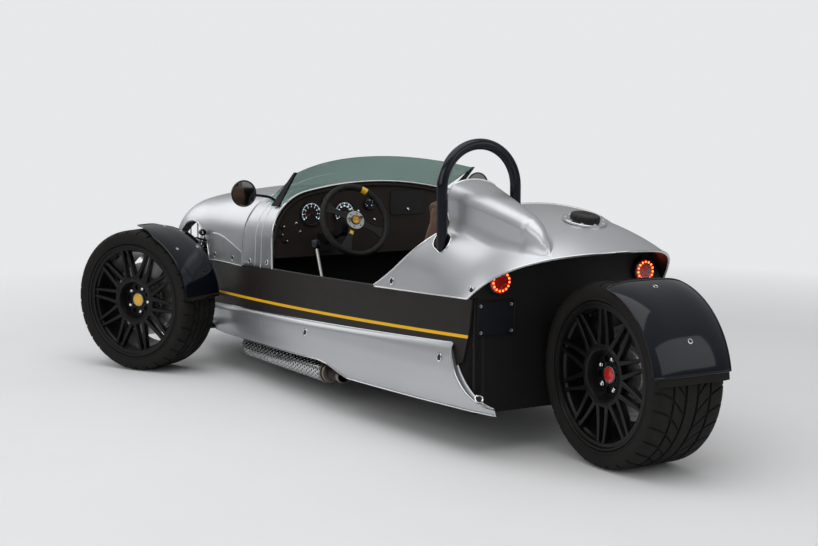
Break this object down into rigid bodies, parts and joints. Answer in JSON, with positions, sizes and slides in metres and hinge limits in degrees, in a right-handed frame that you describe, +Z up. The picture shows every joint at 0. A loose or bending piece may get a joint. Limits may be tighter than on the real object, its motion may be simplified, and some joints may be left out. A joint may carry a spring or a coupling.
{
  "type": "three wheeled car",
  "caption": "Open low roadster with steered front wheels under cycle fenders, a rear wheel on a single arm, a roll hoop behind the driver and a low windscreen.",
  "frame": {"origin": "on the road under the middle of the car's length, on its centre plane", "axes": "+X forward, +Y to the driver's left, +Z up"},
  "size_m": [3.658, 2.0555, 1.0958],
  "materials": {
    "body_paint": "satin bright silver",
    "side_panel": "satin charcoal brown with a yellow stripe",
    "pan": "satin black",
    "dark_trim": "satin black",
    "hoop_black": "gloss black",
    "seat_leather": "stitched brown",
    "dash": "grained brown",
    "glass": "light green tint",
    "mirror_chrome": "polished",
    "lamp_red": "red lens",
    "plate_blank": "satin black, bare",
    "lamp_front": "polished bowl and clear lens",
    "cast": "cast",
    "core": "black painted core",
    "chassis_steel": "satin black steel",
    "shock": "plated",
    "controls_metal": "satin",
    "exhaust_steel": "brushed, heat darkened",
    "shield_chrome": "perforated, polished",
    "wheel_grip": "black",
    "tyre": "black rubber",
    "rim": "satin black",
    "disc": "turned"
  },
  "bodies": {
    "chassis": {"bonnet": "body_paint", "bulkheads": "pan", "coilovers": "shock", "control_arms": "chassis_steel", "controls": "controls_metal", "cowl": "body_paint", "dashboard": "dash", "driveshafts": "chassis_steel", "engine": "cast", "exhaust": "exhaust_steel", "front_frame": "pan", "fuel_cap": "dark_trim", "grille": "dark_trim", "headlamps": "lamp_front", "heat_shield": "shield_chrome", "mirrors": "mirror_chrome", "nose": "body_paint", "plate_panel": "plate_blank", "rack_housing": "chassis_steel", "radiator": "core", "rear_deck": "body_paint", "rear_fender": "hoop_black", "rear_shock": "shock", "rocker_panels": "body_paint", "roll_hoop": "hoop_black", "seat_back": "seat_leather", "seat_cushion": "seat_leather", "side_panels": "side_panel", "steering_column": "dark_trim", "swingarm": "chassis_steel", "tail_lamps": "lamp_red", "tub_floor": "pan", "windscreen": "glass", "windscreen_posts": "dark_trim"},
    "knuckle_left": {"knuckle_left": "cast", "fender_front_left": "hoop_black"},
    "knuckle_right": {"knuckle_right": "cast", "fender_front_right": "hoop_black"},
    "wheel_front_left": {"tyre_front_left": "tyre", "rim_front_left": "rim", "disc_front_left": "disc"},
    "wheel_front_right": {"tyre_front_right": "tyre", "rim_front_right": "rim", "disc_front_right": "disc"},
    "wheel_rear": {"tyre_rear": "tyre", "rim_rear": "rim", "disc_rear": "disc"},
    "steering_wheel": {"steering_wheel": "wheel_grip"},
    "steering_rack": {"steering_rack": "chassis_steel"}
  },
  "joints": [
    {"name": "steer_left", "type": "hinge", "parent": "chassis", "child": "knuckle_left", "pos_m": [1.11, 0.723, 0.3185], "axis": [0, 0, 1], "range_deg": [-64.2, 5.8]},
    {"name": "steer_right", "type": "hinge", "parent": "chassis", "child": "knuckle_right", "pos_m": [1.11, -0.723, 0.3185], "axis": [0, 0, 1], "range_deg": [-64.4, 6]},
    {"name": "steering_wheel_turn", "type": "hinge", "parent": "chassis", "child": "steering_wheel", "pos_m": [0.076, 0.233, 0.727], "axis": [-0.9272, 0, 0.3746], "range_deg": [-727.5, 67.5]},
    {"name": "rack_slide", "type": "slide", "parent": "chassis", "child": "steering_rack", "axis": [0, 1, 0], "range_m": [-0.1165, 0.0115]},
    {"name": "spin_front_left", "type": "hinge", "parent": "knuckle_left", "child": "wheel_front_left", "pos_m": [1.08073, 0.77538, 0.3185], "axis": [-0.4879, 0.8729, 0], "continuous": true},
    {"name": "spin_front_right", "type": "hinge", "parent": "knuckle_right", "child": "wheel_front_right", "pos_m": [1.13927, -0.77538, 0.3185], "axis": [-0.4879, 0.8729, 0], "continuous": true},
    {"name": "spin_rear", "type": "hinge", "parent": "chassis", "child": "wheel_rear", "pos_m": [-1.484, 0, 0.318], "axis": [0, 1, 0], "continuous": true}
  ],
  "couplings": [
    {"joint": "steer_right", "follows": "steer_left", "ratio": 1},
    {"joint": "steering_wheel_turn", "follows": "steer_left", "ratio": 11.3},
    {"joint": "rack_slide", "follows": "steer_left", "m_per_rad": 0.103}
  ]
}
